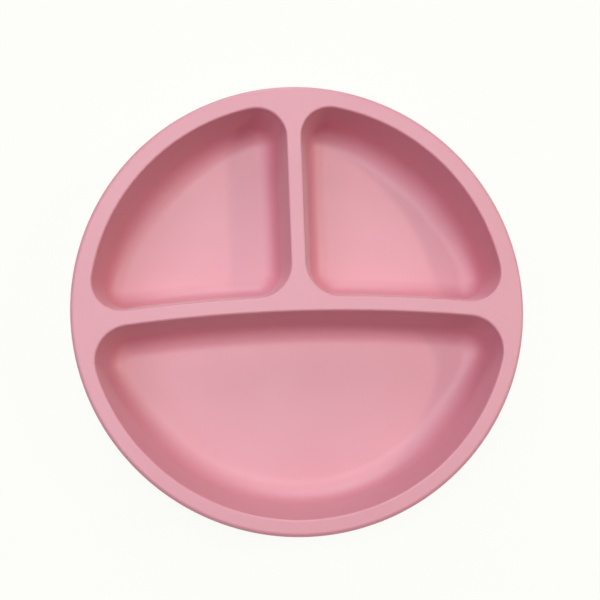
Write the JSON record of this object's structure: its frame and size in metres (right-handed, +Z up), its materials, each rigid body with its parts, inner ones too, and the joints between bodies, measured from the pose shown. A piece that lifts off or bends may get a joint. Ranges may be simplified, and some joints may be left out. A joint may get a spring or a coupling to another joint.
{
  "type": "silicone baby plate",
  "caption": "Round divided baby plate in one piece of soft silicone: deep compartments either side of a T-shaped divider, and a suction foot underneath.",
  "frame": {"origin": "middle of the round outline, on the table that the suction foot stands on", "axes": "+Z up out of the compartments; +Y along the upright divider, towards the far rim; +X to the right"},
  "size_m": [0.19, 0.19, 0.031],
  "materials": {
    "silicone": "soft matt pink silicone with a slight sheen"
  },
  "bodies": {
    "root": {"plate": "silicone"}
  },
  "joints": []
}
